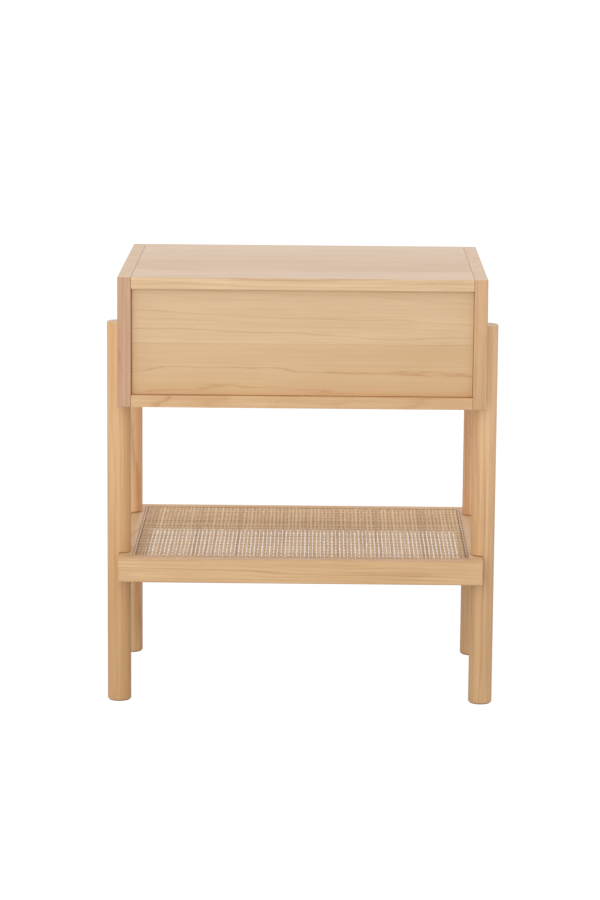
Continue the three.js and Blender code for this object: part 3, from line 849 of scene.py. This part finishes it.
def build_cane_group():
    tree, given, result = new_group(
        "cane_skin",
        {"Vector": "Vector", "Pale": "Color", "Deep": "Color", "Variety": "Float", "Fourths": "Float",
         "Bundle": "Float"},
        {"Color": "Color", "Height": "Float", "Shine": "Float"},
    )
    strand = add(tree, "ShaderNodeAttribute", attribute_name="strand").outputs["Fac"]
    fibre = stretched_noise(tree, given["Vector"], 40.0, 2600.0)
    stem = stretched_noise(tree, given["Vector"], 9.0, 320.0, 3.0)
    joint = ramp(tree, stem, JOINT_FROM, JOINT_FULL)
    depth = calc(tree, "MULTIPLY_ADD", centred(tree, chance(tree, strand)), given["Variety"], 0.45)
    depth = calc(tree, "ADD", depth, times(tree, centred(tree, stem), 1.3))
    depth = calc(tree, "MULTIPLY_ADD", centred(tree, fibre), 0.5, depth)
    depth = calc(tree, "MULTIPLY_ADD", joint, 0.5, depth)
    bundle = calc(tree, "FLOOR", calc(tree, "DIVIDE", strand, given["Bundle"]))
    odd = calc(tree, "GREATER_THAN", chance(tree, calc(tree, "ADD", bundle, 0.37)), ODD_FROM)
    depth = calc(tree, "MULTIPLY_ADD", odd, given["Variety"], depth)
    depth = calc(tree, "MULTIPLY_ADD", every_fourth(tree, strand), given["Fourths"], depth)
    shade = add(tree, "ShaderNodeClamp", {"Value": depth}).outputs[0]
    wire(tree, blend_colours(tree, shade, given["Pale"], given["Deep"]), result["Color"])
    wire(tree, calc(tree, "MULTIPLY_ADD", joint, 0.6, fibre), result["Height"])
    wire(tree, centred(tree, fibre), result["Shine"])
    return tree


CANE = build_cane_group()


def cane(name, along, pale, deep, variety, fourths=0.0, bundle=1.0):
    finish, tree = new_finish(name)
    skin = use_group(tree, CANE, {
        "Vector": grain_space(tree, (0, 0, 0), along, "Y" if along == "X" else "X"), "Pale": tint(*pale),
        "Deep": tint(*deep), "Variety": variety, "Fourths": fourths, "Bundle": bundle,
    })
    # Painted light: paler towards the back of the shelf.
    value = ramp(tree, split(tree, object_place(tree))["Y"], *CANE_PAINTED_LIGHT)
    colour = add(tree, "ShaderNodeHueSaturation", {"Color": skin["Color"], "Value": value}).outputs["Color"]
    gloss = calc(tree, "MULTIPLY_ADD", skin["Shine"], 0.2, 0.48)
    return cover(finish, colour, gloss, skin["Height"], 0.05 * MM, 0.5)


print("cane group:", len(CANE.nodes), "nodes")

# %% [markdown]
# The two sets fill the shelf's opening up to the spline. The strands that run front to back are the wider
# ones, and hide most of what is below them. The holes lie between them and the strands across, which are
# painted paler than them as painted light.

# %% Weave the shelf
def grow(name, tree, values, base=None):
    """Runs a tree on a mesh and keeps the result as a plain mesh object, with no modifier left."""
    piece = bpy.data.objects.new(name, base or bpy.data.meshes.new(name))
    scene.collection.objects.link(piece)
    modifier = piece.modifiers.new(name, "NODES")
    modifier.node_group = tree
    for item in tree.interface.items_tree:
        if item.in_out == "INPUT" and item.name in values:
            modifier[item.identifier] = values[item.name]
    evaluated = piece.evaluated_get(bpy.context.evaluated_depsgraph_get())
    mesh = bpy.data.meshes.new_from_object(evaluated)
    piece.modifiers.remove(modifier)
    piece.data = mesh
    print(name, len(mesh.polygons), "faces")
    return piece


cane_low, cane_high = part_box("cane_webbing")
CANE_X, CANE_Y = cane_high.x - cane_low.x, cane_high.y - cane_low.y
LONG_COUNT, CROSS_COUNT = 84, 72
LONG_PITCH, CROSS_PITCH = CANE_X / LONG_COUNT, CANE_Y / CROSS_COUNT
LONG_WIDTH, CROSS_WIDTH = 3.4 * MM, 2.65 * MM
STRAND_T = 0.36 * MM
BOTH_SETS = {"Rise": 0.20 * MM, "Height": (cane_low.z + cane_high.z) / 2}

long_strands = grow("cane_strands_long", STRANDS, {
    **BOTH_SETS, "Count": LONG_COUNT, "Pitch": LONG_PITCH, "Length": CANE_Y, "Crossing": CROSS_PITCH,
    "Crossings": CROSS_COUNT, "Phase": 0.0, "Width": LONG_WIDTH, "Thickness": STRAND_T, "Wobble": 1.1 * MM,
    "Turn": 0.0, "Margin": 12 * MM, "Fourths": 0.0, "Bands": 0.0, "Uneven": 0.35 * MM, "Seed": 3,
    "Material": cane("cane_long", "Y", (237, 204, 158), (188, 146, 98), 0.55),
})
# The strands across get a paler cane than the long ones, as painted light.
cross_strands = grow("cane_strands_cross", STRANDS, {
    **BOTH_SETS, "Count": CROSS_COUNT, "Pitch": CROSS_PITCH, "Length": CANE_X, "Crossing": LONG_PITCH,
    "Crossings": LONG_COUNT, "Phase": 1.0, "Width": CROSS_WIDTH, "Thickness": STRAND_T * 0.85,
    "Wobble": 0.7 * MM, "Turn": math.pi / 2, "Margin": 8 * MM, "Fourths": 0.75, "Bands": 0.45,
    "Uneven": 0.4 * MM, "Seed": 8,
    "Material": cane("cane_cross", "X", (255, 234, 196), (194, 150, 102), 0.8, fourths=1.3, bundle=2.0),
})
settle(long_strands, "case", "cane", "cane_webbing")
settle(cross_strands, "case", "cane", "cane_webbing")

# %% [markdown]
# ## The spline
# A thin reed is pressed into the groove round the opening and holds the cane. It is the frame's own shape
# with its round top smoothed, in a pinker bare reed. Short dark dashes are painted on both flanks as painted
# shade, for the shaded gaps where the strands dive under it. They are close together at the front and back,
# and longer on the left and right.

# %% Spline
REED_TONES = (238, 203, 164), (188, 145, 104)
# The pitch and strength of the dashes of painted shade.
SHADE_DASHES = {"X": (5 * MM, 0.6), "Y": (17 * MM, 0.9)}
FLANK_FROM, FLANK_FULL = 0.5 * MM, 0.9 * MM


def paint_shade_dashes(finish, along, across, centre):
    """Paints short dark dashes on both flanks, as painted shade."""
    tree = finish.node_tree
    place = split(tree, object_place(tree))
    off_middle = calc(tree, "ABSOLUTE", calc(tree, "SUBTRACT", place[across], centre))
    flank = ramp(tree, off_middle, FLANK_FROM, FLANK_FULL)
    pitch, strength = SHADE_DASHES[along]
    beat = calc(tree, "FRACT", calc(tree, "DIVIDE", place[along], pitch))
    repaint(finish, times(tree, ramp(tree, beat, 0.35, 0.5, 0.1, strength), flank), tint(124, 85, 56))


for end in ("front", "back", "left", "right"):
    node = "cane_spline_" + end
    along, across = ("X", "Y") if end in ("front", "back") else ("Y", "X")
    reed = cane(node + "_reed", along, *REED_TONES, 0.0)
    paint_shade_dashes(reed, along, across, getattr(middle(node), across.lower()))
    finished(node + "_reed", joined_copy(node), reed, "case", "reed_spline", node, sharp=50)

# %% [markdown]
# ## Metal, plastic and felt
# The slides, the screws and the plate are zinc plated: grey, slightly mottled, with drawn lines along their
# length. The latch is moulded plastic with a fine texture, and the glides are pressed felt. One group gives
# the mottle and the lines to all the metal.

# %% Zinc, plastic and felt finishes
def build_zinc_group():
    tree, given, result = new_group(
        "zinc_plate", {"Vector": "Vector", "Lines": "Float"},
        {"Color": "Color", "Height": "Float", "Shine": "Float"},
    )
    cells = add(tree, "ShaderNodeTexVoronoi", {"Vector": given["Vector"], "Scale": 420.0})
    drawn = stretched_noise(tree, given["Vector"], 6.0, 2200.0, 3.0)
    tone = calc(tree, "MULTIPLY_ADD", centred(tree, drawn), given["Lines"], cells.outputs["Distance"])
    wire(tree, blend_colours(tree, tone, tint(212, 211, 208), tint(176, 175, 172)), result["Color"])
    wire(tree, drawn, result["Height"])
    wire(tree, calc(tree, "SUBTRACT", tone, 0.4), result["Shine"])
    return tree


ZINC = build_zinc_group()


def zinc(name, along, lines=0.6, roughness=0.36):
    finish, tree = new_finish(name)
    tree.nodes["Principled BSDF"].inputs["Metallic"].default_value = 1.0
    plate = use_group(tree, ZINC, {"Vector": grain_space(tree, (0, 0, 0), along, "Z"), "Lines": lines})
    gloss = calc(tree, "MULTIPLY_ADD", plate["Shine"], 0.2, roughness)
    return cover(finish, plate["Color"], gloss, plate["Height"], 0.03 * MM, 0.4)


def speckled(name, light, dark, scale, roughness, depth):
    """A dull finish with fine specks and a matching relief, for moulded plastic and felt."""
    finish, tree = new_finish(name)
    specks = noise(tree, object_place(tree), scale, 4.0)
    colour = blend_colours(tree, specks, tint(*light), tint(*dark))
    gloss = calc(tree, "MULTIPLY_ADD", specks, 0.15, roughness)
    return cover(finish, colour, gloss, specks, depth, 0.6)


SLIDE_ZINC, SCREW_ZINC = zinc("slide_zinc", "Y"), zinc("screw_zinc", "X", lines=0.3, roughness=0.3)
WHITE_PLASTIC = speckled("moulded_plastic", (232, 230, 222), (212, 209, 200), 900.0, 0.42, 0.04 * MM)
TAN_FELT = speckled("pressed_felt", (190, 150, 110), (142, 108, 76), 1400.0, 0.85, 0.3 * MM)

# %% Give the metal, plastic and felt pieces their finish
BEECH_TONES = (222, 186, 144), (186, 142, 98)


def dress(node, finish):
    """Puts a finish on a node of the frame whose shape is already right."""
    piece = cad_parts[node]
    piece.data.materials.clear()
    piece.data.materials.append(finish)


for side in ("left", "right"):
    for rail in ("case", "middle", "drawer"):
        dress(f"slide_{rail}_rail_{side}", SLIDE_ZINC)
dress("latch_strike_plate", SLIDE_ZINC)
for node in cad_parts:
    if node.startswith("glide_"):
        finished(node + "_pad", joined_copy(node), TAN_FELT, "case", "felt", node, sharp=30)
    if node.startswith("dowel_"):
        beech = wood(node + "_wood", middle(node), "X", "Y", *BEECH_TONES, spacing=0.003, rings=0.3)
        finished(node + "_pin", joined_copy(node), beech, "case", "dowel_wood", node, sharp=30)
for node, body in (("latch_housing", "case"), ("latch_plunger", "plunger")):
    finished(node + "_shell", joined_copy(node), WHITE_PLASTIC, body, "plastic", node, sharp=30)

# %% [markdown]
# ## Screws
# A screw is a head, a shank and a point round one line, with a cross sunk in the head. They repeat, so a tree
# makes them: it builds one screw from cones, cuts the cross, and puts a copy at each given point, turned the
# way that the point's `driven` attribute says. The long screws stand in for the frame's own, and the small
# ones hold the slides, the latch and its plate.

# %% Tree for screws
def build_screw_tree():
    numbers = "Head Radius,Neck Radius,Head Height,Shank Radius,Shank Length,Point Length".split(",")
    inputs = {**dict.fromkeys(numbers, "Float"), "Material": "Material"}
    tree, given, result = new_shape_tree("screw_set", inputs)

    def bar(low_radius, high_radius, depth, start):
        sizes = {"Vertices": 20, "Radius Top": high_radius, "Radius Bottom": low_radius, "Depth": depth}
        cone = shape_node(tree, "MeshCone", sizes)
        return shape_node(tree, "Transform", {"Geometry": cone, "Translation": xyz(tree, z=start)})

    neck = times(tree, given["Head Height"], -1.0)
    shank_end = calc(tree, "SUBTRACT", neck, given["Shank Length"])
    head = bar(given["Neck Radius"], given["Head Radius"], given["Head Height"], neck)
    arm = times(tree, given["Head Radius"], 1.1)
    blade = times(tree, given["Head Radius"], 0.24)
    deep = times(tree, given["Head Height"], 0.9)
    cut = add(tree, "GeometryNodeMeshBoolean", {"Mesh 1": head}, operation="DIFFERENCE", solver="EXACT")
    for size in ((arm, blade), (blade, arm)):
        wire(tree, shape_node(tree, "MeshCube", {"Size": xyz(tree, *size, deep)}), cut.inputs["Mesh 2"])
    shank = bar(given["Shank Radius"], given["Shank Radius"], given["Shank Length"], shank_end)
    point_end = calc(tree, "SUBTRACT", shank_end, given["Point Length"])
    sharp = times(tree, given["Shank Radius"], 0.1)
    tip = bar(sharp, given["Shank Radius"], given["Point Length"], point_end)
    whole = add(tree, "GeometryNodeJoinGeometry")
    for part in (cut.outputs[0], shank, tip):
        wire(tree, part, whole.inputs[0])
    driven = shape_node(tree, "InputNamedAttribute", {"Name": "driven"}, data_type="FLOAT_VECTOR")
    aim = add(tree, "FunctionNodeAlignRotationToVector", {"Vector": driven}, axis="Z").outputs[0]
    heads = {"Points": given["Geometry"], "Instance": whole.outputs[0], "Rotation": aim}
    end_tree(tree, shape_node(tree, "InstanceOnPoints", heads), given["Material"], result)
    return tree


SCREWS = build_screw_tree()


def screw_points(name, places):
    """A mesh with one point for each screw: where its head ends, and which way the head faces."""
    mesh = bpy.data.meshes.new(name)
    mesh.from_pydata([place for place, _ in places], [], [])
    driven = mesh.attributes.new("driven", "FLOAT_VECTOR", "POINT")
    driven.data.foreach_set("vector", [part for _, out in places for part in out])
    return mesh


# %% Long screws into the legs
LONG_HEAD, LONG_POINT = 2.2 * MM, 4 * MM
LONG_SCREW = {"Head Radius": 4 * MM, "Neck Radius": 2 * MM, "Head Height": LONG_HEAD, "Shank Radius": 2 * MM,
              "Point Length": LONG_POINT, "Material": SCREW_ZINC}


def long_screws(name, nodes):
    """The frame's screws point away from the middle, so their heads face it."""
    places = []
    for node in nodes:
        low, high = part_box(node)
        outward = 1 if low.x > 0 else -1
        head = low.x if outward > 0 else high.x
        places.append(((head, (low.y + high.y) / 2, (low.z + high.z) / 2), (-outward, 0, 0)))
    low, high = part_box(nodes[0])
    sizes = {**LONG_SCREW, "Shank Length": high.x - low.x - LONG_HEAD - LONG_POINT}
    settle(grow(name, SCREWS, sizes, screw_points(name, places)), "case", "screw_steel", *nodes)


for kind in ("case_screw", "shelf_screw"):
    long_screws(kind + "s", sorted(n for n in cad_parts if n.startswith(kind)))

# %% [markdown]
# The small screws have low round heads. Three hold each case rail and each drawer rail, two hold the latch
# housing, and two the strike plate. They are in the visual model only.

# %% Small screws
SMALL_SCREW = {
    "Head Radius": 2.0 * MM, "Neck Radius": 2.6 * MM, "Head Height": 0.9 * MM, "Shank Radius": 1.2 * MM,
    "Shank Length": 5 * MM, "Point Length": 2 * MM, "Material": SCREW_ZINC,
}
ABOVE_WEB = 1.9 * MM
RAIL_SHARES = (0.12, 0.5, 0.88)
FLANGE_T = 3 * MM
HOUSING_SPREAD, PLATE_SPREAD = 14.5 * MM, 8.5 * MM


def rail_screws(rail, side, towards_middle):
    """Three points along a slide rail, on the face that looks into its channel."""
    low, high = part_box(f"slide_{rail}_rail_{side}")
    away = -1 if side == "left" else 1
    web = (high.x if away > 0 else low.x) if towards_middle else (low.x if away > 0 else high.x)
    face = -away if towards_middle else away
    head, level = web + face * ABOVE_WEB, (low.z + high.z) / 2
    return [((head, low.y + share * (high.y - low.y), level), (face, 0, 0)) for share in RAIL_SHARES]


def small_screws(name, body, places):
    settle(grow(name, SCREWS, SMALL_SCREW, screw_points(name, places)), body, "screw_steel")


head_height = SMALL_SCREW["Head Height"]
plate_high, flange_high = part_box("latch_strike_plate")[1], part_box("latch_housing")[1]
plate_level, flange_level = middle("latch_strike_plate").z, middle("latch_housing").z
case_places = rail_screws("case", "left", True) + rail_screws("case", "right", True)
case_places += [((x, flange_high.y - FLANGE_T - head_height, flange_level), (0, -1, 0))
                for x in (-HOUSING_SPREAD, HOUSING_SPREAD)]
drawer_places = rail_screws("drawer", "left", False) + rail_screws("drawer", "right", False)
drawer_places += [((x, plate_high.y + head_height, plate_level), (0, 1, 0))
                  for x in (-PLATE_SPREAD, PLATE_SPREAD)]
small_screws("case_small_screws", "case", case_places)
small_screws("drawer_small_screws", "drawer", drawer_places)
